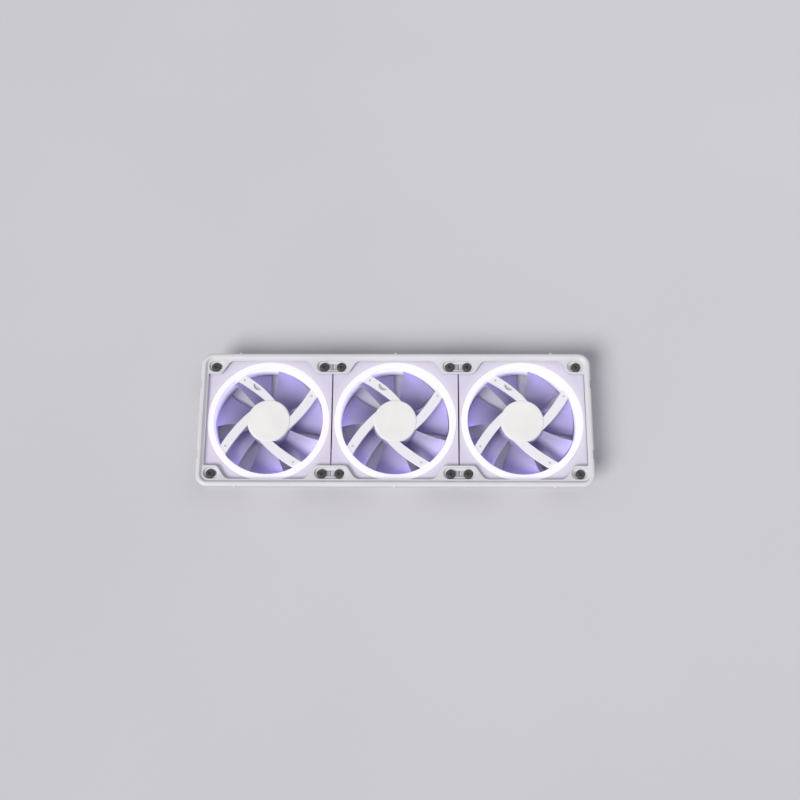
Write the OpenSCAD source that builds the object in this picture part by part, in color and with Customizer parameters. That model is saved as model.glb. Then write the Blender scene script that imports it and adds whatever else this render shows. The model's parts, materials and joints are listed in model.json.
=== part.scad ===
// Fan tray for a liquid cooling radiator: a pressed steel tray that carries
// three ring-lit axial fans in a row, fixed from above by twelve screws.
// Z = 0 is the plane the radiator core is bolted to, +Z is the exhaust side.

/* [Fans] */
// Side of one square fan frame
fan_size = 120; // [90:1:150]
// Depth of the moulded fan frame, pads left out
fan_depth = 25; // [22:0.5:40]
// Space between neighbouring frames
fan_gap = 1.35; // [0.6:0.05:8]
// Distance from the frame side to the middle of a screw hole
hole_inset = 7.5; // [6.5:0.25:9]
// Diameter of the screw holes in the frame
hole_d = 4.3; // [3.6:0.1:5]
// Corner radius of a frame
frame_corner = 5; // [2:0.5:8]
// Thickness of each screw flange of a frame
flange_thick = 4.5; // [3:0.25:6]
// Thickness of one vibration pad, half of it sunk into the frame
pad_thick = 1; // [0.6:0.1:2]

/* [Light ring] */
// Distance from the frame side to the outside of the light ring
ring_inset = 1.6; // [1.2:0.1:3]
// Radial width of the light ring
ring_width = 6.25; // [4.5:0.25:7.5]
// Depth of the channel for the lamp board under the ring
channel_depth = 8; // [6:0.25:12]
// Number of lamps on one board
led_count = 8; // [4:1:12]

/* [Rotor] */
// Diameter of the motor cap in the middle
cap_d = 40.5; // [33:0.5:49]
// Number of blades
blade_count = 7; // [5:1:9]
// Angle one blade covers at its tip
blade_span = 41; // [28:1:44]
// Radial running gap between blade tip and duct
tip_gap = 0.75; // [0.6:0.05:3]
// Blade thickness at mid chord
blade_thick = 1.5; // [1:0.1:2.4]

/* [Struts] */
// Number of struts that hold the motor
strut_count = 4; // [3:1:5]
// Angle one strut covers where it meets the ring
strut_width_angle = 10; // [7:0.5:13]
// Angle the tangent side of a strut sweeps from ring to motor
strut_sweep = 58; // [40:1:64]

/* [Tray] */
// Sheet thickness of the tray
sheet = 1.2; // [0.8:0.1:1.8]
// Tray width beyond the frames at each end
end_margin = 6.15; // [5:0.05:12]
// Tray width beyond the frames at front and back
side_margin = 5.2; // [4.6:0.1:12]
// Width of the rail left at each end of the opening
end_rail = 6; // [5.9:0.1:9]
// Width of the rail along front and back
side_rail = 7; // [6:0.1:9]
// Height of the raised outer band above the inner flat
rim_raise = 2; // [0.8:0.1:2.6]
// Height of the whole rim, from flange edge to top
rim_height = 4; // [3.4:0.1:6]
// Outer corner radius of the tray
tray_corner = 11.5; // [9:0.5:18]
// Offset of the tray from the fans, taken up by its slots
tray_shift = 0.6; // [0:0.05:0.65]
// Depth of the pressed recesses that sink the screw heads
recess_deep = 2; // [1:0.1:2.4]
// Diameter of the screw heads
head_d = 8.8; // [7:0.1:9.4]

/* [Hidden] */
$fn = 96;
eps = 0.02;

pitch = fan_size + fan_gap;
half = fan_size / 2;
hole_at = half - hole_inset;
hole_r = hole_d / 2;
hole_draft = 0.08;

// heights
pad_proud = pad_thick / 2;
pad_inset = 0.8;
pad_reach = 6.3;
pad_hole_gap = 0.9;
pad_gap = 0.05;
z_frame = pad_proud;
z_frame_top = z_frame + fan_depth;
z_pad_top = z_frame_top + pad_proud;
pocket_skin = 0.1;
pocket_wall = 2.6;
pocket_roof = 1.4;
pocket_gap = 2 * (half - 34.8);
z_pocket_lo = z_frame + flange_thick;
z_pocket_hi = z_frame_top - flange_thick;

// light ring and duct
ring_ro = half - ring_inset;
duct_r = ring_ro - ring_width;
duct_wall = 1.25;
channel_ri = duct_r + duct_wall;
channel_ro = ring_ro + 0.2;
z_channel = z_frame_top - channel_depth;
ring_plate = 1.85;
ring_skirt = 3;
ring_lip = 1.2;
ring_edge = 0.5;
flare = 4.2;
z_ring = z_frame_top - ring_plate;
board_thick = 0.8;
led_size = 2.8;
led_high = 1.5;

// motor cap, base and struts
cap_r = cap_d / 2;
base_r = cap_r + 0.35;
cap_thick = 1.25;
cap_edge = 0.4;
z_cap_top = z_frame_top - 0.8;
z_cap = z_cap_top - cap_thick;
base_thick = 2.3;
z_base = z_cap - base_thick;
strut_drop = 0.5;
z_strut_top = z_cap_top - strut_drop;
strut_first = 29;
strut_straight = 45.5;
strut_lead = 28.5;
strut_bow = 2;
strut_steps = 10;
eye_mid = (duct_r + base_r) / 2;
eye_back = 10;
eye_turn = 25;
eye_r = 5.15;
eye_sag = 3.7;
eye_deep = 1.8;

// shaft, bearing and rotor, all sized from the hub
hub_r = cap_r + 1.05;
hub_wall = 1.8;
z_hub = z_frame + 2.1;
z_hub_top = z_base - 0.8;
hub_floor = 1.8;
z_cup = z_hub + hub_floor;
yoke_ro = hub_r - hub_wall;
yoke_wall = 1;
yoke_floor = 0.8;
yoke_drop = 1.6;
magnet_ro = yoke_ro - yoke_wall;
magnet_thick = 1.6;
magnet_ri = magnet_ro - magnet_thick;
shaft_r = 1.5;
running = 0.05;
bearing_ri = shaft_r + running;
bearing_ro = 3.6;
tube_ro = 5;
boss_r = 4;
boss_high = 2.6;
z_boss = z_cup + boss_high;
z_tube = z_boss + 1;
z_bearing_lo = z_tube + 1;
z_bearing_hi = z_base - 1.5;
clip_thick = 0.4;
clip_r = 2.7;
clip_mouth = 1.6;
z_clip = z_bearing_hi + 0.35;
groove_r = 1.1;
z_shaft_top = z_base - 0.5;
shaft_edge = 0.3;
motor_mid = z_tube + 4;
core_high = 5;
core_ring = 3.2;
arm_width = 3.4;
shoe_ro = magnet_ri - 0.5;
shoe_thick = 1.8;
shoe_turn = 36;
coil_wide = 8;
coil_high = core_high + 4.4;
magnet_high = 10;
board_r = magnet_ri - 0.4;
motor_board_thick = 1;
z_motor_board = z_base - 1.8 - motor_board_thick;
pole_count = 4;

// blades
blade_ri = hub_r - 0.7;
blade_ro = duct_r - tip_gap;
blade_phase = 30.6;
z_blade_top = z_base - 1.5;
z_blade_foot = z_hub + 0.6;
blade_chords = 8;
blade_rings = 4;

// tray
tray_l = 2 * pitch + fan_size + 2 * end_margin;
tray_w = fan_size + 2 * side_margin;
z_seat = z_pad_top;
z_floor = z_seat + sheet;
z_flat = z_seat + recess_deep;
z_flat_top = z_flat + sheet;
z_rim_top = z_flat_top + rim_raise;
z_rim_edge = z_rim_top - rim_height;
band = 3.8;
bend_r = 2.2;
rail_inner = band + rim_raise;
open_x = tray_l / 2 - end_rail;
open_y = tray_w / 2 - side_rail;
seam = pitch / 2;
tab_y = hole_at - 7.4;
tab_slope = 57;
tab_run = (open_y - tab_y) / tan(tab_slope);
corner_tab_x = pitch + hole_at - 5.85;
mid_tab_half = 14.9;
tip_r = 5;
root_r = 8;
slit_r = 1.5;
recess_w = 10.9;
recess_wall = 0.8;
slot_w = 5.6;
corner_recess_l = 14.8;
corner_slot_l = 9.4;
corner_slot_x = pitch + hole_at - 0.85;
mid_recess_l = 30;
mid_slot_l = 26;
notch_l = 8.5;
notch_deep = 1.4;
notch_y = 34.5;
dimple_r = 1.7;
dimple_out = 1;
dimple_x = 150;

// screws
head_high = 2.2;
head_round = 0.9;
head_r = head_d / 2;
screw_r = hole_r - 0.03;
screw_long = 8;
z_head_top = z_floor + head_high;

// ---------------------------------------------------------------- helpers

function unit(v) = v / norm(v);

// points of the arc of radius r that rounds the corner a-b-c
function round_at(a, b, c, r, n) =
    let (u = unit(a - b),
         w = unit(c - b),
         h = acos(u * w) / 2,
         mid = b + unit(u + w) * r / sin(h),
         p = b + u * r / tan(h) - mid,
         q = b + w * r / tan(h) - mid,
         a0 = atan2(p[1], p[0]),
         turn = (atan2(q[1], q[0]) - a0 + 540) % 360 - 180)
    [for (i = [0 : n]) mid + r * [cos(a0 + turn * i / n), sin(a0 + turn * i / n)]];

// closed path with every corner rounded; each entry is [x, y, radius]
function round_path(pts, n = 6) =
    let (m = len(pts))
    [for (i = [0 : m - 1])
        let (a = pts[(i + m - 1) % m],
             b = pts[i],
             c = pts[(i + 1) % m])
        each round_at([a[0], a[1]], [b[0], b[1]], [c[0], c[1]], b[2], n)];

// rectangle l by w with round corners
module plate(l, w, r) {
    square([l - 2 * r, w], center = true);
    square([l, w - 2 * r], center = true);
    for (sx = [-1, 1], sy = [-1, 1])
        translate([sx * (l / 2 - r), sy * (w / 2 - r)])
            circle(r);
}

// slot of length l and width w with round ends
module oval(l, w) {
    square([l - w, w], center = true);
    for (s = [-1, 1])
        translate([s * (l - w) / 2, 0])
            circle(w / 2);
}

module tube(ro, ri, z0, z1) {
    translate([0, 0, z0])
        linear_extrude(z1 - z0)
            difference() {
                circle(ro);
                circle(ri);
            }
}

module disc(r, z0, z1) {
    translate([0, 0, z0])
        cylinder(r = r, h = z1 - z0);
}

// places a child on the axis of fan k (-1, 0 or 1) at height z
module at_fan(k, z = 0) {
    translate([k * pitch, -tray_shift, z])
        children();
}

// places a child at the four screw positions of a fan
module at_holes() {
    for (sx = [-1, 1], sy = [-1, 1])
        translate([sx * hole_at, sy * hole_at])
            children();
}

// ------------------------------------------------------------------- tray

// cross-section of the pressed rim; x = 0 is the outside of the tray
module rim_section() {
    step = sheet * tan(22.5);
    z_bend = z_rim_top - bend_r;
    in_r = bend_r - sheet;
    outer = [for (a = [0 : 18 : 90]) [bend_r * (cos(a) - 1), z_bend + bend_r * sin(a)]];
    inner = [for (a = [90 : -18 : 0]) [in_r * cos(a) - bend_r, z_bend + in_r * sin(a)]];
    polygon(concat(
        [[0, z_rim_edge]],
        outer,
        [[-band, z_rim_top],
         [-band - rim_raise, z_flat_top],
         [-rail_inner - 0.1, z_flat_top],
         [-rail_inner - 0.1, z_flat],
         [-rail_inner + step, z_flat],
         [-band + step, z_rim_top - sheet]],
        inner,
        [[-sheet, z_rim_edge]]));
}

module rim_bar(l, out) {
    rotate([90, 0, 90])
        linear_extrude(l, center = true)
            translate([out, 0])
                rim_section();
}

module rim() {
    for (s = [0, 1])
        rotate(180 * s) {
            rim_bar(tray_l - 2 * tray_corner, tray_w / 2);
            rotate(90)
                rim_bar(tray_w - 2 * tray_corner, tray_l / 2);
        }
    for (q = [0 : 3])
        translate([(q == 0 || q == 3 ? 1 : -1) * (tray_l / 2 - tray_corner),
                   (q < 2 ? 1 : -1) * (tray_w / 2 - tray_corner), 0])
            rotate(90 * q)
                rotate_extrude(angle = 90)
                    translate([tray_corner, 0])
                        rim_section();
}

// upper half of the opening outline, from the right end to the left end
upper_edge = concat(
    [[open_x, tab_y, slit_r],
     [corner_tab_x, tab_y, tip_r],
     [corner_tab_x - tab_run, open_y, root_r]],
    [for (s = [1, -1]) each
        [[s * seam + mid_tab_half + tab_run, open_y, root_r],
         [s * seam + mid_tab_half, tab_y, tip_r],
         [s * seam - mid_tab_half, tab_y, tip_r],
         [s * seam - mid_tab_half - tab_run, open_y, root_r]]],
    [[-corner_tab_x + tab_run, open_y, root_r],
     [-corner_tab_x, tab_y, tip_r],
     [-open_x, tab_y, slit_r]]);
lower_edge = [for (p = upper_edge) [-p[0], -p[1], p[2]]];

module at_corner_slots() {
    for (sx = [-1, 1], sy = [-1, 1])
        translate([sx * corner_slot_x, sy * hole_at])
            children();
}

module at_mid_slots() {
    for (sx = [-1, 1], sy = [-1, 1])
        translate([sx * seam, sy * hole_at])
            children();
}

module tray() {
    color([0.93, 0.93, 0.94])
    difference() {
        union() {
            rim();
            translate([0, 0, z_flat])
                linear_extrude(sheet)
                    difference() {
                        plate(tray_l - 2 * rail_inner, tray_w - 2 * rail_inner, tray_corner - rail_inner);
                        polygon(round_path(concat(upper_edge, lower_edge)));
                    }
            translate([0, 0, z_seat])
                linear_extrude(recess_deep + eps) {
                    at_corner_slots()
                        oval(corner_recess_l + 2 * recess_wall, recess_w + 2 * recess_wall);
                    at_mid_slots()
                        oval(mid_recess_l + 2 * recess_wall, recess_w + 2 * recess_wall);
                }
            for (sy = [-1, 1], i = [-1, 0, 1])
                translate([i * dimple_x, sy * (tray_w / 2 - sheet / 2), z_rim_edge + dimple_r + 0.2])
                    rotate([-90 * sy, 0, 0])
                        cylinder(r1 = dimple_r, r2 = dimple_r - 0.7, h = dimple_out + sheet / 2);
        }
        translate([0, 0, z_floor])
            linear_extrude(recess_deep + 1) {
                at_corner_slots()
                    oval(corner_recess_l, recess_w);
                at_mid_slots()
                    oval(mid_recess_l, recess_w);
            }
        translate([0, 0, z_seat - 1])
            linear_extrude(sheet + 2) {
                at_corner_slots()
                    oval(corner_slot_l, slot_w);
                at_mid_slots()
                    oval(mid_slot_l, slot_w);
            }
        for (sx = [-1, 1], sy = [-1, 1])
            translate([sx * tray_l / 2, sy * notch_y, z_rim_top - rim_height / 2])
                cube([2 * notch_deep, notch_l, rim_height + 1], center = true);
    }
}

// ----------------------------------------------------------------- screws

module screw() {
    z_tip = z_floor - screw_long;
    difference() {
        rotate_extrude()
            polygon(concat(
                [[0, z_tip],
                 [screw_r - 1, z_tip],
                 [screw_r, z_tip + 1.6],
                 [screw_r, z_floor],
                 [head_r, z_floor]],
                [for (a = [0 : 15 : 90])
                    [head_r - head_round * (1 - cos(a)), z_head_top - head_round * (1 - sin(a))]],
                [[0, z_head_top]]));
        // cross recess
        for (a = [0, 90])
            rotate(a)
                translate([0, 0, z_head_top])
                    cube([0.55 * head_d, 1, head_high], center = true);
    }
}

module screws(k) {
    color([0.06, 0.06, 0.07])
    at_fan(k)
        at_holes()
            screw();
}

// ------------------------------------------------------------------ frame

// curve from the motor base (angle a0) to the duct (angle a1), bowed by b
function strut_side(a0, a1, r1, b) =
    let (p = (base_r - 0.4) * [cos(a0), sin(a0)],
         q = r1 * [cos(a1), sin(a1)],
         n = [q[1] - p[1], p[0] - q[0]] / norm(q - p))
    [for (i = [0 : strut_steps])
        let (t = i / strut_steps)
        p + (q - p) * t + n * b * 4 * t * (1 - t)];

module strut_outline(sweep, r_end) {
    back = strut_side(-sweep, 0, r_end, strut_bow);
    lead = strut_side(strut_width_angle - strut_lead, strut_width_angle, r_end, strut_bow / 2.5);
    polygon(concat(back, [for (i = [strut_steps : -1 : 0]) lead[i]], [[0, 0]]));
}

module struts() {
    for (i = [0 : strut_count - 1]) {
        sweep = i == 1 ? strut_straight : strut_sweep;
        rotate(strut_first + i * 360 / strut_count) {
            translate([0, 0, z_base])
                linear_extrude(z_ring - z_base)
                    strut_outline(sweep, duct_r + duct_wall / 2);
            translate([0, 0, z_base])
                linear_extrude(z_strut_top - z_base)
                    strut_outline(sweep, duct_r - 0.15);
        }
    }
}

// half-moon eye of the motor lead, its flat side along the straight strut
module strut_eye() {
    rotate(strut_first + 360 / strut_count)
        translate([eye_mid * cos(eye_back), -eye_mid * sin(eye_back), z_strut_top - eye_deep])
            rotate(eye_turn)
                linear_extrude(eye_deep + 1)
                    intersection() {
                        translate([0, eye_sag - eye_r])
                            circle(eye_r);
                        translate([-eye_r, 0])
                            square([2 * eye_r, eye_r]);
                    }
}

// rounded intake edge at the bottom of the duct
module inlet_flare() {
    rotate_extrude()
        polygon(concat(
            [[duct_r - 1, z_frame - 1],
             [duct_r + flare, z_frame - 1]],
            [for (a = [0 : 11.25 : 90]) [duct_r + flare * (1 - sin(a)), z_frame + flare * (1 - cos(a))]],
            [[duct_r - 1, z_frame + flare]]));
}

// corner pad seen from above, grown by the given clearance
module pad_outline(grow) {
    far = half - pad_inset + grow;
    near = hole_at - pad_reach - grow;
    difference() {
        intersection() {
            translate([near, near])
                square(far - near);
            plate(2 * far, 2 * far, frame_corner - pad_inset + grow);
        }
        circle(channel_ro + duct_wall - grow);
    }
}

module at_corners() {
    for (q = [0 : 3])
        rotate(90 * q)
            children();
}

// open space behind the screw flanges, outside radius r and up to height z
module corner_pocket(r, z) {
    translate([0, 0, z_pocket_lo])
        linear_extrude(z - z_pocket_lo)
            difference() {
                square(fan_size + 2, center = true);
                circle(r);
                square([fan_size + 4, pocket_gap], center = true);
                square([pocket_gap, fan_size + 4], center = true);
            }
}

module frame_solid() {
    difference() {
        translate([0, 0, z_frame])
            linear_extrude(fan_depth)
                plate(fan_size, fan_size, frame_corner);
        disc(duct_r, z_frame - 1, z_frame_top + 1);
        inlet_flare();
        tube(channel_ro, channel_ri, z_channel, z_frame_top + 1);
        disc(channel_ri + eps, z_ring, z_frame_top + 1);
        corner_pocket(half - pocket_skin, z_pocket_hi);
        corner_pocket(duct_r + pocket_wall, z_channel - pocket_roof);
        // straight holes through the core side, drafted ones under the tray
        at_holes() {
            disc(hole_r, z_frame - 1, z_pocket_lo + 1);
            translate([0, 0, z_pocket_hi - 1])
                cylinder(r1 = hole_r + hole_draft, r2 = hole_r, h = flange_thick + 2);
        }
        for (z = [z_frame - 1, z_frame_top - pad_proud])
            translate([0, 0, z])
                linear_extrude(pad_proud + 1)
                    at_corners()
                        pad_outline(pad_gap);
    }
}

module frame(k) {
    color([0.9, 0.9, 0.92])
    at_fan(k) {
        frame_solid();
        difference() {
            union() {
                struts();
                disc(base_r, z_base, z_cap);
            }
            strut_eye();
            disc(cap_r + 0.1, z_cap, z_frame_top);
        }
        tube(tube_ro, bearing_ro, z_tube, z_base + eps);
    }
}

module corner_pads(k) {
    color([0.82, 0.82, 0.84])
    at_fan(k)
        for (z = [0, z_frame_top - pad_proud])
            translate([0, 0, z])
                linear_extrude(pad_thick)
                    at_corners()
                        difference() {
                            pad_outline(0);
                            translate([hole_at, hole_at])
                                circle(hole_r + pad_hole_gap);
                        }
}

// ------------------------------------------------------------- light ring

module light_ring(k) {
    color([0.98, 0.98, 1])
    at_fan(k)
        rotate_extrude()
            polygon([[duct_r, z_ring],
                [duct_r, z_frame_top - ring_edge],
                [duct_r + ring_edge, z_frame_top],
                [ring_ro - ring_edge, z_frame_top],
                [ring_ro, z_frame_top - ring_edge],
                [ring_ro, z_ring - ring_skirt],
                [ring_ro - ring_lip, z_ring - ring_skirt],
                [ring_ro - ring_lip, z_ring]]);
}

module led_board(k) {
    color([0.1, 0.35, 0.16])
    at_fan(k)
        tube(channel_ro - 0.5, channel_ri + 0.3, z_channel, z_channel + board_thick);
}

module leds(k) {
    mid = (channel_ro + channel_ri) / 2 - 0.2;
    color([1, 0.97, 0.85])
    at_fan(k, z_channel + board_thick)
        for (i = [0 : led_count - 1])
            rotate((i + 0.5) * 360 / led_count)
                translate([mid - led_size / 2, -led_size / 2, 0])
                    cube([led_size, led_size, led_high]);
}

// ------------------------------------------------------------------ motor

module hub_cap(k) {
    color([0.95, 0.95, 0.96])
    at_fan(k)
        rotate_extrude()
            polygon([[0, z_cap],
                [cap_r, z_cap],
                [cap_r, z_cap_top - cap_edge],
                [cap_r - cap_edge, z_cap_top],
                [0, z_cap_top]]);
}

module bearing(k) {
    color([0.7, 0.55, 0.3])
    at_fan(k)
        tube(bearing_ro, bearing_ri, z_bearing_lo, z_bearing_hi);
}

module stator_core(k) {
    color([0.45, 0.46, 0.48])
    at_fan(k, motor_mid - core_high / 2)
        linear_extrude(core_high)
            difference() {
                union() {
                    circle(tube_ro + core_ring);
                    for (i = [0 : pole_count - 1])
                        rotate(i * 360 / pole_count) {
                            translate([0, -arm_width / 2])
                                square([shoe_ro - shoe_thick / 2, arm_width]);
                            intersection() {
                                difference() {
                                    circle(shoe_ro);
                                    circle(shoe_ro - shoe_thick);
                                }
                                polygon([[0, 0],
                                    2 * shoe_ro * [cos(shoe_turn), -sin(shoe_turn)],
                                    2 * shoe_ro * [cos(shoe_turn), sin(shoe_turn)]]);
                            }
                        }
                }
                circle(tube_ro);
            }
}

module coils(k) {
    r0 = tube_ro + core_ring + 0.3;
    r1 = sqrt(pow(shoe_ro - shoe_thick, 2) - pow(coil_wide / 2, 2)) - 0.1;
    color([0.72, 0.4, 0.2])
    at_fan(k, motor_mid)
        for (i = [0 : pole_count - 1])
            rotate(i * 360 / pole_count)
                translate([r0, 0, 0])
                    rotate([90, 0, 90])
                        linear_extrude(r1 - r0)
                            difference() {
                                plate(coil_wide, coil_high, 1.6);
                                square([arm_width, core_high], center = true);
                            }
}

module motor_board(k) {
    z_top = z_motor_board + motor_board_thick;
    color([0.12, 0.3, 0.18])
    at_fan(k) {
        tube(board_r, tube_ro, z_motor_board, z_top);
        // driver chip and two capacitors
        translate([tube_ro + 2.5, -2, z_top - eps])
            cube([4, 4, 1.1]);
        for (s = [-1, 1])
            translate([-tube_ro - 5, s * 4 - 0.8, z_top - eps])
                cube([2.4, 1.6, 0.9]);
    }
}

// ------------------------------------------------------------------ rotor

// height the blade falls from its high edge to its low edge
function blade_rise(t) = (z_blade_top - z_blade_foot) * (1 - 0.03 * t);

// angle, height and half thickness at share t of the span and s of the chord
// (s = 0 is the high edge)
function blade_angle(t, s) =
    blade_phase - 2.5 * (1 - t)
    - (blade_span + 2 * (1 - t)) * s
    + 3 * sin(180 * t) * (s - 0.3);
function blade_z(t, s) =
    z_blade_top - 0.4 * t - blade_rise(t) * (1 - pow(1 - s, 1.3));
function blade_half(t, s) =
    blade_thick / 2 * (0.4 + 2.4 * s * (1 - s)) * (1.25 - 0.35 * t);

function blade_skin(side) =
    [for (j = [0 : blade_rings], i = [0 : blade_chords])
        let (t = j / blade_rings,
             s = i / blade_chords,
             r = blade_ri + (blade_ro - blade_ri) * t,
             a = blade_angle(t, s))
        [r * cos(a), r * sin(a), blade_z(t, s) + side * blade_half(t, s)]];

module blade() {
    c = blade_chords;
    n = blade_rings;
    m = (c + 1) * (n + 1);
    top = [for (j = [0 : n - 1], i = [0 : c - 1]) each
        let (a = j * (c + 1) + i)
        [[a, a + 1, a + c + 1], [a + 1, a + c + 2, a + c + 1]]];
    low = [for (f = top) [f[0] + m, f[2] + m, f[1] + m]];
    foot = [for (i = [0 : c - 1]) each [[i, i + m, i + 1], [i + 1, i + m, i + 1 + m]]];
    tip0 = n * (c + 1);
    tip = [for (i = [tip0 : tip0 + c - 1]) each [[i, i + 1, i + m], [i + 1, i + 1 + m, i + m]]];
    high = [for (j = [0 : n - 1]) each
        let (a = j * (c + 1), b = a + c + 1)
        [[a, b, a + m], [b, b + m, a + m]]];
    deep = [for (j = [0 : n - 1]) each
        let (a = j * (c + 1) + c, b = a + c + 1)
        [[a, a + m, b], [b, a + m, b + m]]];
    faces = concat(top, low, foot, tip, high, deep);
    polyhedron(concat(blade_skin(1), blade_skin(-1)), [for (f = faces) [f[0], f[2], f[1]]]);
}

module impeller(k) {
    color([0.9, 0.89, 0.95])
    at_fan(k) {
        difference() {
            disc(hub_r, z_hub, z_hub_top);
            disc(yoke_ro, z_cup, z_hub_top + 1);
        }
        tube(boss_r, shaft_r, z_cup - eps, z_boss);
        for (i = [0 : blade_count - 1])
            rotate(i * 360 / blade_count)
                blade();
    }
}

module rotor_yoke(k) {
    color([0.6, 0.6, 0.62])
    at_fan(k)
        difference() {
            disc(yoke_ro, z_cup, z_hub_top - yoke_drop);
            disc(magnet_ro, z_cup + yoke_floor, z_hub_top);
            disc(boss_r, z_cup - 1, z_hub_top);
        }
}

module magnet(k) {
    z0 = motor_mid - magnet_high / 2;
    color([0.18, 0.16, 0.15])
    at_fan(k)
        tube(magnet_ro, magnet_ri, z0, z0 + magnet_high);
}

module shaft(k) {
    color([0.78, 0.78, 0.8])
    at_fan(k)
        rotate_extrude()
            polygon([[0, z_cup],
                [shaft_r, z_cup],
                [shaft_r, z_clip],
                [groove_r, z_clip],
                [groove_r, z_clip + clip_thick],
                [shaft_r, z_clip + clip_thick],
                [shaft_r, z_shaft_top - shaft_edge],
                [shaft_r - shaft_edge, z_shaft_top],
                [0, z_shaft_top]]);
}

module shaft_clip(k) {
    color([0.3, 0.3, 0.32])
    at_fan(k, z_clip)
        linear_extrude(clip_thick)
            difference() {
                circle(clip_r);
                circle(groove_r);
                translate([0, -clip_mouth / 2])
                    square([clip_r + 1, clip_mouth]);
            }
}

// ------------------------------------------------------------------ parts

tray();
screws(-1);  // screws_1
screws(0);  // screws_2
screws(1);  // screws_3
frame(-1);  // frame_1
frame(0);  // frame_2
frame(1);  // frame_3
corner_pads(-1);  // corner_pads_1
corner_pads(0);  // corner_pads_2
corner_pads(1);  // corner_pads_3
light_ring(-1);  // light_ring_1
light_ring(0);  // light_ring_2
light_ring(1);  // light_ring_3
led_board(-1);  // led_board_1
led_board(0);  // led_board_2
led_board(1);  // led_board_3
leds(-1);  // leds_1
leds(0);  // leds_2
leds(1);  // leds_3
hub_cap(-1);  // hub_cap_1
hub_cap(0);  // hub_cap_2
hub_cap(1);  // hub_cap_3
bearing(-1);  // bearing_1
bearing(0);  // bearing_2
bearing(1);  // bearing_3
stator_core(-1);  // stator_core_1
stator_core(0);  // stator_core_2
stator_core(1);  // stator_core_3
coils(-1);  // coils_1
coils(0);  // coils_2
coils(1);  // coils_3
motor_board(-1);  // motor_board_1
motor_board(0);  // motor_board_2
motor_board(1);  // motor_board_3
impeller(-1);  // impeller_1
impeller(0);  // impeller_2
impeller(1);  // impeller_3
rotor_yoke(-1);  // rotor_yoke_1
rotor_yoke(0);  // rotor_yoke_2
rotor_yoke(1);  // rotor_yoke_3
magnet(-1);  // magnet_1
magnet(0);  // magnet_2
magnet(1);  // magnet_3
shaft(-1);  // shaft_1
shaft(0);  // shaft_2
shaft(1);  // shaft_3
shaft_clip(-1);  // shaft_clip_1
shaft_clip(0);  // shaft_clip_2
shaft_clip(1);  // shaft_clip_3
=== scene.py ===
"""Looks for the fan tray of a liquid cooling radiator: a pressed steel tray over three ring-lit fans."""

import json
from math import acos, atan2, cos, pi, radians, sin, tan

import bmesh
import bpy
from mathutils import Matrix, Vector
from mathutils.geometry import delaunay_2d_cdt


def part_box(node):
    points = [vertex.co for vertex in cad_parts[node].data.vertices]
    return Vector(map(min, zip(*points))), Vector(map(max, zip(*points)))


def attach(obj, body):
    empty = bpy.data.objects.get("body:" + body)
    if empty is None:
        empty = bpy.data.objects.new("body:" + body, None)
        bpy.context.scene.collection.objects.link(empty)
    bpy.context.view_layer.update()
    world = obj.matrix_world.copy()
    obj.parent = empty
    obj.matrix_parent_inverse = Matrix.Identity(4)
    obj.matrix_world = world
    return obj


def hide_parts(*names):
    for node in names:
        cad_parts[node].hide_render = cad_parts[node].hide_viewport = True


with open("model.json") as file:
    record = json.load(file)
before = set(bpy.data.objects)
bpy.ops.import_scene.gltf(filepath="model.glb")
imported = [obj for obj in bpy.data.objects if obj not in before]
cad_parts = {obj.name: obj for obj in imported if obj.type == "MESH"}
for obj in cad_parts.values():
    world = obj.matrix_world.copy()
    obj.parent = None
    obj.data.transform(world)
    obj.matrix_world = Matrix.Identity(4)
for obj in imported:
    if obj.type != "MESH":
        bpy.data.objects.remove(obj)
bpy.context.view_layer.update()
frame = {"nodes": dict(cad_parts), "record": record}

MM = 0.001
FANS = (1, 2, 3)
NODES = frame["nodes"]

# ------------------------------------------------------------------ sizes, mm


def box_mm(node):
    """Lowest and highest corner of a CAD node, in millimetres."""
    low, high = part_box(node)
    return [v / MM for v in low], [v / MM for v in high]


def axis_mm(k):
    """x and y of the axis of fan k."""
    low, high = box_mm(f"hub_cap_{k}")
    return (low[0] + high[0]) / 2, (low[1] + high[1]) / 2


tray_low, tray_high = box_mm("tray")
cap_low, cap_high = box_mm("hub_cap_2")
ring_low, ring_high = box_mm("light_ring_2")
frame_low, frame_high = box_mm("frame_2")
rotor_low, rotor_high = box_mm("impeller_2")
screw_low, screw_high = box_mm("screws_2")

pitch = axis_mm(3)[0] - axis_mm(2)[0]
fan_size = frame_high[0] - frame_low[0]
hole_inset = 7.5
hole_at = fan_size / 2 - hole_inset
z_frame_top = frame_high[2]

# tray
tray_half_l = tray_high[0]
side_margin = 5.2
tray_half_w = fan_size / 2 + side_margin
tray_corner = 11.5
sheet = 1.2
z_seat = tray_low[2]
recess_deep = 2
rim_rise = 2
flange_high = 4
z_floor = z_seat + sheet
z_flat = z_seat + recess_deep
z_flat_top = z_flat + sheet
z_rim_top = z_flat_top + rim_rise
z_rim_edge = z_rim_top - flange_high
band = 3.8
rail_inner = 5.7
open_x = tray_half_l - 6
open_y = tray_half_w - 7
seam = pitch / 2
tab_y = hole_at - 7.4
tab_slope = 57
tab_run = (open_y - tab_y) / tan(radians(tab_slope))
corner_tab_x = pitch + hole_at - 5.85
mid_tab_half = 14.9
tab_tip_r = 5
tab_root_r = 8
opening_corner_r = 1.5
recess_w = 10.9
corner_recess_l = 14.8
mid_recess_l = 30
slot_w = 5.6
corner_slot_l = 10.4
mid_slot_l = 26
corner_slot_x = pitch + hole_at - 0.85
notch_l = 8.5
notch_deep = 1.4
notch_y = 34.5
dimple_at = 150
dimple_r = 1.7
dimple_high = 1.0

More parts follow.
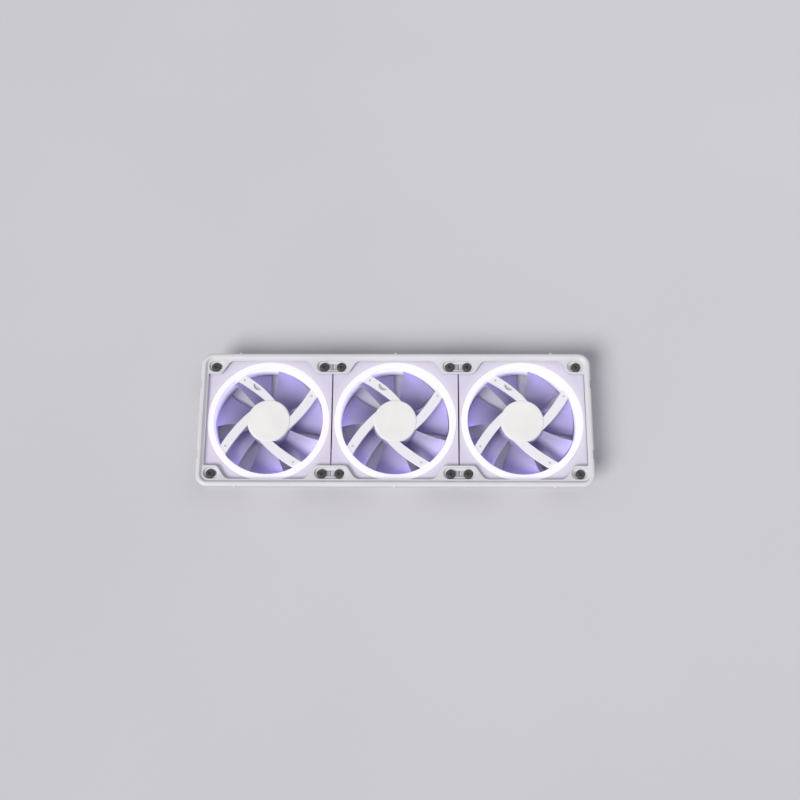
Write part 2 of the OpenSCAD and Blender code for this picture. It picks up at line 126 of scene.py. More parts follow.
# fan
ring_ro = (ring_high[0] - ring_low[0]) / 2
ring_width = 6.25
ring_skirt = 3
ring_skirt_thick = 1.2
duct_r = ring_ro - ring_width
z_ring = z_frame_top - 1.85
cap_r = (cap_high[0] - cap_low[0]) / 2
z_cap = cap_low[2]
z_cap_top = cap_high[2]
cap_proud = 0.5
z_strut_top = z_cap_top - cap_proud
eye_deep = 1.8
z_eye = z_strut_top - eye_deep
mark_at = 47.5
mark_first = 31.5
mark_r = 1.15
z_base = z_cap - 2.3
hub_r = cap_r + 1.05
hub_wall = 1.8
boss_r = 4
boss_high = 4.4
bore_r = 1.5
z_hub = rotor_low[2]
z_hub_top = rotor_high[2]
z_hub_floor = z_hub + hub_wall
z_boss_top = z_hub + boss_high
blade_count = 7
blade_ri = hub_r - 0.7
blade_ro = duct_r - 0.75
blade_phase = 30.6
blade_span = 41
blade_thick = 1.5
z_blade_top = z_base - 1.5
z_blade_foot = z_hub + 0.6

# ------------------------------------------------------------------ mesh code


class Shape:
    """Vertices and faces of one piece, in millimetres."""

    def __init__(self):
        self.verts = []
        self.faces = []

    def add(self, points):
        """Adds points and returns their indices."""
        start = len(self.verts)
        self.verts.extend(tuple(p) for p in points)
        return list(range(start, len(self.verts)))

    def bridge(self, a, b):
        """Quads between two closed loops of equal length."""
        n = len(a)
        for i in range(n):
            j = (i + 1) % n
            self.faces.append((a[i], a[j], b[j], b[i]))

    def fan(self, loop, point):
        """Triangles from a closed loop to one point."""
        (tip,) = self.add([point])
        n = len(loop)
        for i in range(n):
            self.faces.append((loop[i], loop[(i + 1) % n], tip))

    def fill(self, outer, holes=()):
        """Triangles over a flat region given by loops of vertex indices, seen along Z."""
        loops = [outer, *holes]
        flat = [i for loop in loops for i in loop]
        points = [Vector(self.verts[i][:2]) for i in flat]
        edges = []
        start = 0
        for loop in loops:
            n = len(loop)
            edges.extend((start + i, start + (i + 1) % n) for i in range(n))
            start += n
        result = delaunay_2d_cdt(points, edges, [], 1, 1e-5)
        new_points, triangles, origin = result[0], result[2], result[3]
        names = [flat[o[0]] if o else None for o in origin]
        rims = [[self.verts[i] for i in loop] for loop in loops]
        for tri in triangles:
            x = sum(new_points[i].x for i in tri) / 3
            y = sum(new_points[i].y for i in tri) / 3
            if inside(x, y, rims[0]) and not any(inside(x, y, r) for r in rims[1:]):
                self.faces.append(tuple(names[i] for i in tri))

    def lathe(self, profile, centre=(0, 0), steps=96, closed=False):
        """Turns (radius, z) points about a vertical axis."""
        rings = []
        for r, z in profile:
            if r < 1e-6:
                rings.append(self.add([(centre[0], centre[1], z)]) * steps)
            else:
                rings.append(self.add(
                    (centre[0] + r * cos(2 * pi * i / steps), centre[1] + r * sin(2 * pi * i / steps), z)
                    for i in range(steps)))
        pairs = list(zip(rings, rings[1:]))
        if closed:
            pairs.append((rings[-1], rings[0]))
        for a, b in pairs:
            for i in range(steps):
                j = (i + 1) % steps
                face = [a[i], a[j], b[j], b[i]]
                face = [v for n, v in enumerate(face) if v not in face[:n]]
                if len(face) > 2:
                    self.faces.append(tuple(face))

    def merge(self, other, turn, move):
        """Adds a copy of another shape, turned about Z by degrees and moved."""
        c, s = cos(radians(turn)), sin(radians(turn))
        dx, dy, dz = move
        index = self.add((x * c - y * s + dx, x * s + y * c + dy, z + dz) for x, y, z in other.verts)
        self.faces.extend(tuple(index[i] for i in f) for f in other.faces)

    def make(self, name, sharp=32):
        """Turns the shape into a smooth-shaded object in metres."""
        mesh = bpy.data.meshes.new(name)
        mesh.from_pydata([(x * MM, y * MM, z * MM) for x, y, z in self.verts], [], self.faces)
        obj = link(name, mesh)
        clean(mesh, weld=1e-7)
        smooth(mesh, sharp)
        return obj


def link(name, mesh):
    obj = bpy.data.objects.new(name, mesh)
    bpy.context.scene.collection.objects.link(obj)
    return obj


def clean(mesh, weld):
    """Welds doubles, drops loose points and turns every face outwards."""
    bm = bmesh.new()
    bm.from_mesh(mesh)
    bmesh.ops.remove_doubles(bm, verts=bm.verts, dist=weld)
    bmesh.ops.dissolve_degenerate(bm, edges=bm.edges, dist=weld)
    loose = [v for v in bm.verts if not v.link_faces]
    bmesh.ops.delete(bm, geom=loose, context="VERTS")
    bmesh.ops.recalc_face_normals(bm, faces=bm.faces)
    bm.to_mesh(mesh)
    bm.free()
    mesh.update()


def smooth(mesh, sharp):
    mesh.shade_smooth()
    mesh.set_sharp_from_angle(angle=radians(sharp))


def inside(x, y, loop):
    """Whether a point lies inside a closed outline."""
    odd = False
    n = len(loop)
    for i in range(n):
        x0, y0 = loop[i][:2]
        x1, y1 = loop[(i + 1) % n][:2]
        if (y0 > y) != (y1 > y) and x < x0 + (x1 - x0) * (y - y0) / (y1 - y0):
            odd = not odd
    return odd


def round_corner(a, b, c, r, steps):
    """Points of the arc of radius r that rounds the corner a-b-c."""
    a, b, c = Vector(a[:2]), Vector(b[:2]), Vector(c[:2])
    u, w = (a - b).normalized(), (c - b).normalized()
    h = acos(max(-1, min(1, u.dot(w)))) / 2
    mid = b + (u + w).normalized() * r / sin(h)
    p = b + u * r / tan(h) - mid
    q = b + w * r / tan(h) - mid
    a0 = atan2(p.y, p.x)
    turn = (atan2(q.y, q.x) - a0 + 3 * pi) % (2 * pi) - pi
    angles = [a0 + turn * i / steps for i in range(steps + 1)]
    return [(mid.x + r * cos(a), mid.y + r * sin(a)) for a in angles]


def round_path(points, steps, closed=False):
    """Path with rounded corners; each entry is (x, y, radius). An open path keeps its two ends."""
    n = len(points)
    path = []
    for i, p in enumerate(points):
        if p[2] == 0 or (not closed and i in (0, n - 1)):
            path.append((p[0], p[1]))
        else:
            path.extend(round_corner(points[i - 1], p, points[(i + 1) % n], p[2], steps))
    return path


def grow(loop, d):
    """Moves a closed outline outwards by d along its corner normals."""
    n = len(loop)
    area = sum(loop[i][0] * loop[(i + 1) % n][1] - loop[(i + 1) % n][0] * loop[i][1] for i in range(n))
    side = 1 if area > 0 else -1
    moved = []
    for i in range(n):
        a, b, c = Vector(loop[i - 1][:2]), Vector(loop[i][:2]), Vector(loop[(i + 1) % n][:2])
        u, w = (b - a).normalized(), (c - b).normalized()
        m = (Vector((u.y, -u.x)) + Vector((w.y, -w.x))).normalized() * side
        k = d / max(0.5, m.dot(Vector((u.y, -u.x)) * side))
        moved.append((b.x + m.x * k, b.y + m.y * k))
    return moved


def oval(length, width, centre, steps=12):
    """Outline of a slot with round ends."""
    r = width / 2
    reach = length / 2 - r
    loop = []
    for side in (1, -1):
        for i in range(steps + 1):
            a = -pi / 2 + pi * i / steps
            loop.append((centre[0] + side * (reach + r * cos(a)), centre[1] + side * r * sin(a)))
    return loop


def lift(loop, z):
    return [(p[0], p[1], z) for p in loop]


# ----------------------------------------------------------------------- tray

# rim profile as (distance inwards, z, rounding), from the flat over the top and back below
RIM_PROFILE = (
    (rail_inner + 0.15, z_flat_top, 0),
    (rail_inner, z_flat_top, 0.3),
    (band, z_rim_top, 0.9),
    (0, z_rim_top, 2.2),
    (0, z_rim_edge, 0.2),
    (sheet, z_rim_edge, 0.2),
    (sheet, z_rim_top - sheet, 1.0),
    (band - 0.5, z_rim_top - sheet, 0.6),
    (rail_inner - 0.5, z_flat, 0.6),
    (rail_inner + 0.15, z_flat, 0),
)


def rim_path():
    """Outer outline of the tray as (point, outward direction, whether a notch follows)."""
    corner_x, corner_y = tray_half_l - tray_corner, tray_half_w - tray_corner
    steps = 14
    stops = (-notch_y - notch_l / 2, -notch_y + notch_l / 2, notch_y - notch_l / 2, notch_y + notch_l / 2)
    path = []
    for sx, sy, first in ((1, -1, -90), (1, 1, 0), (-1, 1, 90), (-1, -1, 180)):
        for i in range(steps + 1):
            a = radians(first + 90 * i / steps)
            point = (sx * corner_x + tray_corner * cos(a), sy * corner_y + tray_corner * sin(a))
            path.append((point, (cos(a), sin(a)), False))
        if first in (-90, 90):
            for n, y in enumerate(stops):
                path.append(((sx * tray_half_l, sx * y), (sx, 0), n % 2 == 0))
    return path


def with_crossings(profile, d):
    """The profile with a point put in wherever it crosses distance d, and the places of those points."""
    points, places = [], []
    for p, q in zip(profile, profile[1:]):
        points.append(p)
        if (p[0] - d) * (q[0] - d) < 0:
            t = (d - p[0]) / (q[0] - p[0])
            places.append(len(points))
            points.append((d, p[1] + (q[1] - p[1]) * t))
    points.append(profile[-1])
    return points, places


def add_rim(shape):
    """Sweeps the rim profile round the tray. Returns the loops where it meets the flat, top and bottom."""
    profile, (cut_a, cut_b) = with_crossings(round_path(RIM_PROFILE, 5), notch_deep)
    path = rim_path()
    n = len(path)
    last = len(profile) - 1
    rows = [shape.add((p[0] - out[0] * d, p[1] - out[1] * d, z) for d, z in profile) for p, out, _ in path]
    for i in range(n):
        a, b = rows[i], rows[(i + 1) % n]
        cut = path[i][2]
        for m in range(last):
            if not (cut and cut_a <= m < cut_b):
                shape.faces.append((a[m], b[m], b[m + 1], a[m + 1]))
        if cut:
            shape.faces.append((a[cut_a], b[cut_a], b[cut_b], a[cut_b]))
            for row in (a, b):
                shape.faces.append(tuple(row[cut_a:cut_b + 1]))
    return [row[0] for row in rows], [row[last] for row in rows]


def opening_outline():
    """Outline of the tray's opening, with the tabs that carry the screws."""
    upper = [
        (open_x, tab_y, opening_corner_r),
        (corner_tab_x, tab_y, tab_tip_r),
        (corner_tab_x - tab_run, open_y, tab_root_r),
    ]
    for s in (1, -1):
        upper += [
            (s * seam + mid_tab_half + tab_run, open_y, tab_root_r),
            (s * seam + mid_tab_half, tab_y, tab_tip_r),
            (s * seam - mid_tab_half, tab_y, tab_tip_r),
            (s * seam - mid_tab_half - tab_run, open_y, tab_root_r),
        ]
    upper += [
        (tab_run - corner_tab_x, open_y, tab_root_r),
        (-corner_tab_x, tab_y, tab_tip_r),
        (-open_x, tab_y, opening_corner_r),
    ]
    lower = [(-x, -y, r) for x, y, r in upper]
    return round_path(upper + lower, 8, closed=True)


# sheared edge of the opening: (growth of the outline, z) from the upper face to the lower
EDGE_STEPS = (
    (0.15, z_flat_top),
    (0.04, z_flat_top - 0.04),
    (0, z_flat_top - 0.15),
    (0, z_flat + 0.15),
    (0.04, z_flat + 0.04),
    (0.15, z_flat),
)

# pressed recess: (growth of its outline, z) down to its floor
RECESS_DOWN = (
    (0.4, z_flat_top),
    (0.12, z_flat_top - 0.1),
    (0, z_flat_top - 0.4),
    (-0.2, z_floor + 0.5),
    (-0.4, z_floor + 0.16),
    (-0.8, z_floor),
)
# slot through the floor of a recess: (growth of its outline, z) from top to bottom
SLOT_STEPS = (
    (0.15, z_floor),
    (0.04, z_floor - 0.04),
    (0, z_floor - 0.15),
    (0, z_seat + 0.15),
    (0.04, z_seat + 0.04),
    (0.15, z_seat),
)
# underside of a recess: (growth of its outline, z) back up to the sheet
RECESS_UP = (
    (0.4, z_seat),
    (0.7, z_seat + 0.12),
    (0.78, z_seat + 0.4),
    (0.8, z_flat - 0.1),
    (0.85, z_flat),
)


def add_recess(shape, centre, recess_l, slot_l):
    """One recess with its slot. Returns its top and bottom rims."""
    loops = []
    for steps, length, width in (
        (RECESS_DOWN, recess_l, recess_w),
        (SLOT_STEPS, slot_l, slot_w),
        (RECESS_UP, recess_l, recess_w),
    ):
        for e, z in steps:
            loops.append(shape.add(lift(oval(length + 2 * e, width + 2 * e, centre), z)))
    for a, b in zip(loops, loops[1:]):
        shape.bridge(a, b)
    return loops[0], loops[-1]


def make_tray():
    shape = Shape()
    rim_top, rim_bottom = add_rim(shape)
    outline = opening_outline()
    edge = [shape.add(lift(grow(outline, e), z)) for e, z in EDGE_STEPS]
    for a, b in zip(edge, edge[1:]):
        shape.bridge(a, b)
    tops, bottoms = [edge[0]], [edge[-1]]
    for sx in (-1, 1):
        for sy in (-1, 1):
            for x, recess_l, slot_l in (
                (corner_slot_x, corner_recess_l, corner_slot_l),
                (seam, mid_recess_l, mid_slot_l),
            ):
                top, bottom = add_recess(shape, (sx * x, sy * hole_at), recess_l, slot_l)
                tops.append(top)
                bottoms.append(bottom)
    shape.fill(rim_top, tops)
    shape.fill(rim_bottom, bottoms)
    # pressed dimples in the front and back flanges
    for sy in (-1, 1):
        for x in (-dimple_at, 0, dimple_at):
            add_dimple(shape, x, sy)
    return shape.make("tray_shell", sharp=40)


def add_dimple(shape, x, side):
    """A small round bump that stands out from the front (-1) or back (1) flange."""
    bump = Shape()
    profile = ((0, dimple_high, 0), (1.1, dimple_high, 0.35), (dimple_r, -0.5, 0), (0, -0.5, 0))
    bump.lathe(round_path(profile, 4), steps=28)
    z = z_rim_edge + dimple_r + 0.2
    y = side * tray_half_w
    index = shape.add((x + u, y + side * w, z + v) for u, v, w in bump.verts)
    shape.faces.extend(tuple(index[i] for i in f) for f in bump.faces)


PIECES = []


def settle(piece, slot, body, *nodes):
    """Says what a piece stands for, what it moves with and what it is finished in."""
    if nodes:
        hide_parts(*nodes)
    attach(piece, body)
    PIECES.append((piece, slot))


STATIC = "tray_and_frames"
settle(make_tray(), "tray_steel", STATIC, "tray")

# --------------------------------------------------------------------- frames


def solid_copy(node, name, width, sharp=30):
    """A copy of a CAD node with its moulded edges rounded."""
    bm = bmesh.new()
    bm.from_mesh(NODES[node].data)
    bmesh.ops.remove_doubles(bm, verts=bm.verts, dist=1e-6)
    bmesh.ops.dissolve_limit(bm, angle_limit=radians(0.6), verts=bm.verts, edges=bm.edges)
    bmesh.ops.dissolve_degenerate(bm, edges=bm.edges, dist=0.12 * MM)
    bm.verts.index_update()
    mesh = bpy.data.meshes.new(name)
    mesh.from_pydata([v.co[:] for v in bm.verts], [], [[v.index for v in f.verts] for f in bm.faces])
    bm.free()
    obj = link(name, mesh)
    smooth(mesh, sharp)
    bevel = obj.modifiers.new("round", "BEVEL")
    bevel.width = width * MM
    bevel.segments = 2
    bevel.limit_method = "ANGLE"
    bevel.angle_limit = radians(sharp)
    obj.modifiers.new("normals", "WEIGHTED_NORMAL").keep_sharp = True
    return obj


def make_frame_mesh():
    """The moulding that all three frames are made from, standing at fan 1."""
    draft = solid_copy("frame_1", "frame_draft", 0.3)
    depsgraph = bpy.context.evaluated_depsgraph_get()
    mesh = bpy.data.meshes.new_from_object(draft.evaluated_get(depsgraph))
    plain = draft.data
    bpy.data.objects.remove(draft)
    bpy.data.meshes.remove(plain)
    return mesh


def make_frame(k, moulding):
    """The frame of fan k: a copy of the moulding, moved along the row."""
    mesh = moulding.copy()
    mesh.name = f"fan_frame_{k}"
    mesh.transform(Matrix.Translation(((axis_mm(k)[0] - axis_mm(1)[0]) * MM, 0, 0)))
    return link(mesh.name, mesh)


def make_marks(k):
    """Round marks that the mould's ejector pins leave near the outer end of each strut."""
    shape = Shape()
    x, y = axis_mm(k)
    for n in range(4):
        a = radians(mark_first + 90 * n)
        spot = (x + mark_at * cos(a), y + mark_at * sin(a))
        low, high = z_strut_top - 0.1, z_strut_top + 0.05
        shape.lathe(((0, low), (mark_r, low), (mark_r, high), (0, high)), spot, steps=24)
    return shape.make(f"ejector_marks_{k}")


def make_pads(k):
    """The rubber corner pads of fan k."""
    return solid_copy(f"corner_pads_{k}", f"vibration_pads_{k}", 0.15)


# ----------------------------------------------------------------- light ring


def make_ring(k):
    """The diffuser of fan k: a flat ring with a thin skirt outside."""
    shape = Shape()
    profile = round_path((
        (duct_r, z_ring, 0.1),
        (duct_r, z_frame_top, 0.5),
        (ring_ro, z_frame_top, 0.6),
        (ring_ro, z_ring - ring_skirt, 0.2),
        (ring_ro - ring_skirt_thick, z_ring - ring_skirt, 0.2),
        (ring_ro - ring_skirt_thick, z_ring, 0.1),
    ), 5, closed=True)
    shape.lathe(profile, axis_mm(k), steps=160, closed=True)
    return shape.make(f"ring_diffuser_{k}", sharp=50)


# -------------------------------------------------------------------- hub cap


def make_cap(k):
    """The blank cap over the motor of fan k."""
    shape = Shape()
    profile = round_path((
        (0, z_cap, 0),
        (cap_r - 0.3, z_cap, 0.1),
        (cap_r, z_cap + 0.3, 0.1),
        (cap_r, z_cap_top, 0.55),
        (cap_r - 2.2, z_cap_top, 0),
        (0, z_cap_top, 0),
    ), 5)
    shape.lathe(profile, axis_mm(k), steps=128)
    return shape.make(f"motor_cap_{k}", sharp=50)


# --------------------------------------------------------------------- screws

head_r = screw_high[0] - axis_mm(2)[0] - hole_at
z_head_top = screw_high[2]
z_tip = screw_low[2]
shank_r = 2.12
thread_pitch = 0.9
thread_deep = 0.35
core_r = shank_r - thread_deep
tip_taper = 1.6
tip_share = 0.55
cross_reach = 2.3
cross_half = 0.5
cross_deep = 1.1
cross_cone = 0.35
cross_draft = 0.62
# how far each screw of a fan was turned when it came to rest, in degrees
SCREW_TURNS = (12, 37, 64, 81)


def cross_outline():
    """Outline of the cross recess, seen from above."""
    w, r = cross_half, cross_reach
    quarter = [(w, w), (w, r), (-w, r)]
    loop = []
    for q in range(4):
        c, s = round(cos(q * pi / 2)), round(sin(q * pi / 2))
        loop.extend((x * c - y * s, x * s + y * c) for x, y in quarter)
    return loop


def make_screw_shape():
    """One pan-head screw on the Z axis, with a cross recess and a rolled thread."""
    steps = 36
    screw = Shape()
    profile = round_path((
        (core_r, z_floor, 0),
        (head_r, z_floor, 0.15),
        (head_r, z_floor + 0.9, 0.4),
        (head_r - 0.9, z_head_top - 0.15, 0.9),
        (head_r - 1.6, z_head_top, 0),
    ), 5)
    screw.lathe(profile, steps=steps)
    rim = list(range(len(screw.verts) - steps, len(screw.verts)))
    cross = cross_outline()
    z_cross = z_head_top - cross_deep
    top = screw.add(lift(cross, z_head_top))
    screw.fill(rim, [top])
    low = screw.add((x * cross_draft, y * cross_draft, z_cross) for x, y in cross)
    screw.bridge(top, low)
    screw.fan(low, (0, 0, z_cross - cross_cone))
    # thread: a helical ridge that starts on the first loop of the head and narrows at the tip
    levels = 40
    loops = [list(range(steps))]
    for m in range(1, levels + 1):
        z = z_floor + (z_tip - z_floor) * m / levels
        taper = min(1, max(0, (z - z_tip) / tip_taper))
        turn = []
        for i in range(steps):
            phase = (z / thread_pitch + i / steps) % 1
            ridge = 1 - abs(2 * phase - 1)
            r = (core_r + thread_deep * ridge ** 1.5) * (tip_share + (1 - tip_share) * taper)
            a = 2 * pi * i / steps
            turn.append((r * cos(a), r * sin(a), z))
        loops.append(screw.add(turn))
    for a, b in zip(loops, loops[1:]):
        screw.bridge(a, b)
    screw.fan(loops[-1], (0, 0, z_tip))
    return screw


def make_screws(k, one):
    """The four screws that hold fan k to the tray."""
    shape = Shape()
    x, y = axis_mm(k)
    corners = [(sx * hole_at, sy * hole_at) for sx in (-1, 1) for sy in (-1, 1)]
    for n, (dx, dy) in enumerate(corners):
        shape.merge(one, SCREW_TURNS[(n + k) % len(SCREW_TURNS)], (x + dx, y + dy, 0))
    return shape.make(f"tray_screws_{k}", sharp=35)


# ------------------------------------------------------------------- impeller

CHORDS = 22


def blade_point(t, s):
    """Middle surface of a blade at share t of its span and s of its chord."""
    angle = blade_phase - 2.5 * (1 - t) - (blade_span + 2 * (1 - t)) * s + 3 * sin(pi * t) * (s - 0.3)
    fall = (z_blade_top - z_blade_foot) * (1 - 0.03 * t)
    z = z_blade_top - 0.4 * t - fall * (1 - (1 - s) ** 1.3)
    r = blade_ri + (blade_ro - blade_ri) * t
    return Vector((r * cos(radians(angle)), r * sin(radians(angle)), z))


def blade_half_thick(t, s):
    """Half the thickness of a blade, fullest at mid chord and towards the hub."""
    return blade_thick / 2 * (0.5 + 2.2 * s * (1 - s)) * (1.25 - 0.35 * t)


def blade_loop(t, thin=1.0):
    """Closed outline of the blade's section at share t: over the top, round the low edge and back."""
    upper, lower = [], []
    for i in range(CHORDS + 1):
        s = i / CHORDS
        p = blade_point(t, s)
        rise = Vector((0, 0, blade_half_thick(t, s) * thin))
        upper.append(p + rise)
        lower.append(p - rise)
    arcs = []
    for s, before in ((1, 0.98), (0, 0.02)):
        p = blade_point(t, s)
        arcs.append(edge_arc(p, p - blade_point(t, before), blade_half_thick(t, s) * thin))
    return upper + arcs[0] + lower[::-1] + arcs[1][::-1]


def edge_arc(p, along, h):
    """Three points that round a blade's edge, from its upper to its lower side."""
    u = along.normalized()
    up = Vector((0, 0, 1))
    return [p + u * h * cos(radians(a)) + up * h * sin(radians(a)) for a in (45, 0, -45)]


def make_blade():
    """One blade, standing on the hub at turn 0."""
    blade = Shape()
    stations = [i / 14 for i in range(14)] + [0.985, 1.0]
    loops = []
    for t in stations:
        loops.append(blade.add(blade_loop(t)))
    loops.append(blade.add(blade_loop(1.0, 0.55)))
    for a, b in zip(loops, loops[1:]):
        blade.bridge(a, b)
    for loop in (loops[0], loops[-1]):
        cap_section(blade, loop)
    return blade


def cap_section(shape, loop):
    """Closes a section outline with quads between its upper and lower sides."""
    upper = loop[:CHORDS + 1]
    low_arc = loop[CHORDS + 1:CHORDS + 4]
    lower = loop[CHORDS + 4:2 * CHORDS + 5][::-1]
    high_arc = loop[2 * CHORDS + 5:]
    for i in range(CHORDS):
        shape.faces.append((upper[i], upper[i + 1], lower[i + 1], lower[i]))
    shape.faces.append((upper[CHORDS], *low_arc, lower[CHORDS]))
    shape.faces.append((lower[0], *high_arc, upper[0]))


def make_impeller(k, blade):
    """Hub cup and blades of fan k; the cup opens towards the cap."""
    shape = Shape()
    x, y = axis_mm(k)
    inner = hub_r - hub_wall
    profile = round_path((
        (0, z_hub, 0),
        (hub_r - 3, z_hub, 0),
        (hub_r, z_hub, 1.6),
        (hub_r, z_hub_top, 0.5),
        (inner, z_hub_top, 0.3),
        (inner, z_hub_floor, 0.3),
        (boss_r, z_hub_floor, 0.3),
        (boss_r, z_boss_top, 0.3),
        (bore_r, z_boss_top, 0.2),
        (bore_r, z_hub_floor, 0),
        (0, z_hub_floor, 0),
    ), 4)
    shape.lathe(profile, (x, y), steps=112)
    for i in range(blade_count):
        shape.merge(blade, i * 360 / blade_count, (x, y, 0))
    return shape.make(f"rotor_blades_{k}", sharp=42)


one_screw = make_screw_shape()
one_blade = make_blade()
one_frame = make_frame_mesh()
for k in FANS:
    settle(make_frame(k, one_frame), "frame_plastic", STATIC, f"frame_{k}")
    settle(make_marks(k), "frame_plastic", STATIC)
    settle(make_pads(k), "pad_rubber", STATIC, f"corner_pads_{k}")
    settle(make_ring(k), "ring_diffuser", STATIC, f"light_ring_{k}")
    settle(make_cap(k), "cap_plastic", STATIC, f"hub_cap_{k}")
    settle(make_screws(k, one_screw), "screw_black", STATIC, f"screws_{k}")
    settle(make_impeller(k, one_blade), "blade_plastic", f"rotor_{k}", f"impeller_{k}")

# ------------------------------------------------------------------ materials


class Look:
    """A node material built on one Principled shader."""

    def __init__(self, name, colour, rough, metal=0.0):
        self.material = bpy.data.materials.new(name)
        self.material.use_nodes = True
        self.tree = self.material.node_tree
        self.shader = self.tree.nodes["Principled BSDF"]
        self.set("Base Color", (*colour, 1))
        self.set("Roughness", rough)
        self.set("Metallic", metal)
        self.colour = colour
        self.place = self.node("ShaderNodeTexCoord").outputs["Object"]
        self.height = None

    def node(self, kind, **values):
        """Adds a node and sets its properties."""
        n = self.tree.nodes.new(kind)
        for key, value in values.items():
            setattr(n, key, value)
        return n

    def wire(self, a, b):
        self.tree.links.new(a, b)

    def set(self, socket, value):
        self.shader.inputs[socket].default_value = value

    def noise(self, size_mm, detail=3.0, rough=0.55, stretch=None):
        """Noise whose features are about size_mm wide."""
        n = self.node("ShaderNodeTexNoise")
        n.inputs["Scale"].default_value = 1 / (size_mm * MM)
        n.inputs["Detail"].default_value = detail
        n.inputs["Roughness"].default_value = rough
        source = self.place
        if stretch:
            mapping = self.node("ShaderNodeMapping")
            mapping.inputs["Scale"].default_value = stretch
            self.wire(source, mapping.inputs["Vector"])
            source = mapping.outputs["Vector"]
        self.wire(source, n.inputs["Vector"])
        return n.outputs["Fac"]

    def ramp(self, fac, stops):
        """Colour ramp over fac; stops are (position, colour)."""
        r = self.node("ShaderNodeValToRGB")
        r.color_ramp.elements[0].position = stops[0][0]
        r.color_ramp.elements[0].color = (*stops[0][1], 1)
        r.color_ramp.elements[1].position = stops[-1][0]
        r.color_ramp.elements[1].color = (*stops[-1][1], 1)
        for position, colour in stops[1:-1]:
            r.color_ramp.elements.new(position).color = (*colour, 1)
        self.wire(fac, r.inputs["Fac"])
        return r.outputs["Color"]

    def tint(self, fac, low, high, lo=0.35, hi=0.65):
        """Base colour that runs from low to high times the look's colour as fac rises."""
        a = tuple(c * low for c in self.colour)
        b = tuple(c * high for c in self.colour)
        self.wire(self.ramp(fac, ((lo, a), (hi, b))), self.shader.inputs["Base Color"])

    def gloss(self, fac, low, high, lo=0.35, hi=0.65):
        """Roughness that runs from low to high as fac rises."""
        m = self.node("ShaderNodeMapRange")
        m.inputs["From Min"].default_value = lo
        m.inputs["From Max"].default_value = hi
        m.inputs["To Min"].default_value = low
        m.inputs["To Max"].default_value = high
        self.wire(fac, m.inputs["Value"])
        self.wire(m.outputs["Result"], self.shader.inputs["Roughness"])

    def bump(self, fac, height_mm, strength=1.0):
        """Adds relief of about height_mm; later calls lie on top of earlier ones."""
        b = self.node("ShaderNodeBump")
        b.inputs["Distance"].default_value = height_mm * MM
        b.inputs["Strength"].default_value = strength
        self.wire(fac, b.inputs["Height"])
        if self.height:
            self.wire(self.height, b.inputs["Normal"])
        self.height = b.outputs["Normal"]
        self.wire(self.height, self.shader.inputs["Normal"])

    def axis_value(self, axis):
        """One coordinate of the shaded point, in metres."""
        split = self.node("ShaderNodeSeparateXYZ")
        self.wire(self.place, split.inputs["Vector"])
        return split.outputs[axis]


def painted_steel():
    look = Look("white_powder_coat", (0.68, 0.68, 0.69), 0.4)
    grain = look.noise(0.55, 4)
    cloud = look.noise(38, 2)
    look.tint(cloud, 0.97, 1.02)
    look.gloss(look.noise(1.4, 3), 0.36, 0.48)
    look.bump(grain, 0.03, 0.5)
    look.bump(look.noise(2.6, 2), 0.05, 0.35)
    look.set("Coat Weight", 0.15)
    look.set("Coat Roughness", 0.25)
    return look.material


def moulded(name, colour, rough, grain_mm=0.18, grain_high=0.012):
    """Moulded plastic with a fine grain; both grain sizes are in millimetres."""
    look = Look(name, colour, rough)
    look.tint(look.noise(24, 2), 0.965, 1.02)
    look.gloss(look.noise(0.9, 3), rough - 0.05, rough + 0.07)
    look.bump(look.noise(grain_mm, 2), grain_high, 0.8)
    look.set("Subsurface Weight", 0.06)
    look.set("Subsurface Radius", (0.0012, 0.0011, 0.0012))
    look.set("Subsurface Scale", 1.0)
    return look


def blade_look():
    # painted light: the violet and darkness of this base colour are painted ring light and duct shade on
    # paler frosted plastic; the ring lamps add real violet light on top
    look = moulded("frosted_blades_painted_violet", (0.35, 0.32, 0.48), 0.40, 0.25, 0.008)
    look.set("Subsurface Weight", 0.2)
    return look.material


# painted violet light on the frame, as colour by distance from the axis: 0 at the duct wall, 1 at the
# reach set below, in mm outside the ring
FRAME_PAINTED_VIOLET = (
    (0, (0.84, 0.83, 0.86)),
    (0.3, (0.77, 0.74, 0.82)),
    (1, (0.68, 0.64, 0.78)),
)
PAINTED_VIOLET_REACH = 8
# painted glow on the duct wall: its strength, the depth in mm below the ring over which it fades, and its
# colour
PAINTED_WALL_GLOW = 0.8
PAINTED_WALL_GLOW_DEEP = 22
PAINTED_WALL_GLOW_TONE = (0.60, 0.60, 1.0)


